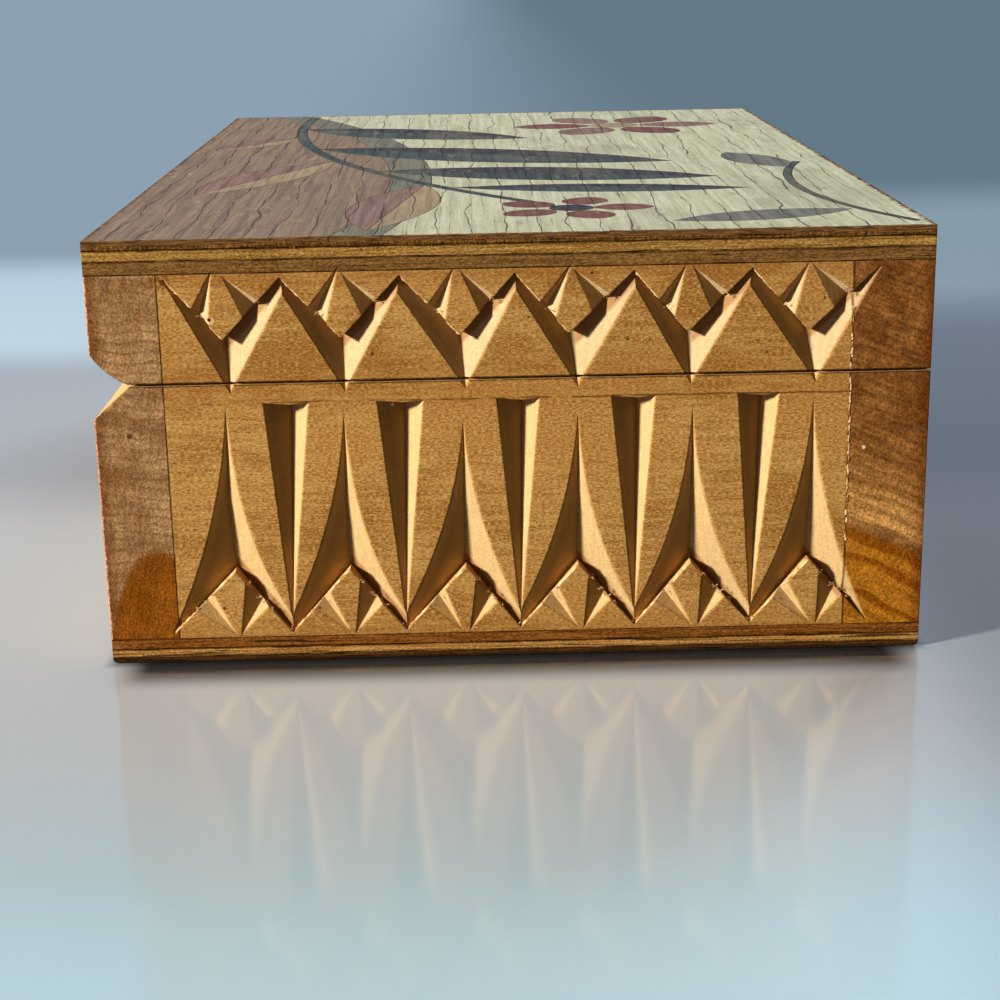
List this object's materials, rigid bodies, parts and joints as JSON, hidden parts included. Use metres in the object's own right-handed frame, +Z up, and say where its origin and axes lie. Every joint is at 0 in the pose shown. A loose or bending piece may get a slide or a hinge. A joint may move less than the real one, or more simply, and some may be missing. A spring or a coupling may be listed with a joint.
{
  "type": "hinged wooden trinket box",
  "caption": "Rectangular wooden trinket box with a hinged lid, chip-carved ends and front, and a marquetry spray of leaves and blossoms on the lid.",
  "frame": {"origin": "centre of the bottom face that the box stands on", "axes": "+Z up; X along the box's length and its hinges; the front with the finger groove faces -Y and the hinges are at +Y"},
  "size_m": [0.16, 0.1029, 0.0526],
  "materials": {
    "board": "varnished, worn",
    "panel": "varnished, worn",
    "dark_ply": "varnished edge",
    "pale_ply": "varnished edge",
    "mauve_veneer": "aged, matt",
    "grey_veneer": "aged, matt",
    "pale_veneer": "aged, matt",
    "slate_veneer": "aged, matt",
    "dark_veneer": "aged, matt",
    "beige_veneer": "aged, matt",
    "pink_veneer": "aged, matt",
    "russet_veneer": "aged, matt",
    "brass": "tarnished",
    "steel": "dull"
  },
  "bodies": {
    "base": {"base_front_wall": "board", "base_back_wall": "board", "base_right_end": "panel", "base_left_end": "panel", "bottom_inner_ply": "dark_ply", "bottom_core_ply": "pale_ply", "bottom_outer_ply": "dark_ply", "base_hinge_leaf_left": "brass", "base_hinge_leaf_right": "brass", "hinge_pin_left": "steel", "hinge_pin_right": "steel", "base_hinge_screws": "steel"},
    "lid": {"lid_front_wall": "board", "lid_back_wall": "board", "lid_right_end": "panel", "lid_left_end": "panel", "lid_inner_ply": "dark_ply", "lid_core_ply": "pale_ply", "lid_outer_ply": "dark_ply", "lid_hinge_leaf_left": "brass", "lid_hinge_leaf_right": "brass", "lid_hinge_screws": "steel", "marquetry_mauve_ground": "mauve_veneer", "marquetry_grey_band": "grey_veneer", "marquetry_pale_ground": "pale_veneer", "marquetry_stem": "slate_veneer", "marquetry_twig": "slate_veneer", "leaf_1_left_half": "dark_veneer", "leaf_1_right_half": "slate_veneer", "leaf_2_left_half": "dark_veneer", "leaf_2_right_half": "slate_veneer", "leaf_3_left_half": "dark_veneer", "leaf_3_right_half": "slate_veneer", "leaf_4_left_half": "dark_veneer", "leaf_4_right_half": "slate_veneer", "leaf_5_left_half": "beige_veneer", "leaf_5_right_half": "pink_veneer", "leaf_6_left_half": "beige_veneer", "leaf_6_right_half": "pink_veneer", "leaf_7_left_half": "beige_veneer", "leaf_7_right_half": "pink_veneer", "twig_leaf_1": "grey_veneer", "twig_leaf_2": "grey_veneer", "large_petal_1": "pink_veneer", "large_petal_2": "russet_veneer", "large_petal_3": "pink_veneer", "large_petal_4": "russet_veneer", "large_petal_5": "pink_veneer", "large_petal_6": "russet_veneer", "large_blossom_centre": "beige_veneer", "small_petal_1": "russet_veneer", "small_petal_2": "russet_veneer", "small_petal_3": "russet_veneer", "small_petal_4": "russet_veneer", "small_petal_5": "russet_veneer", "small_blossom_centre": "dark_veneer"}
  },
  "joints": [
    {"name": "lid_hinge", "type": "hinge", "parent": "base", "child": "lid", "pos_m": [0, 0.05155, 0.03535], "axis": [-1, 0, 0], "range_deg": [0, 180]}
  ]
}
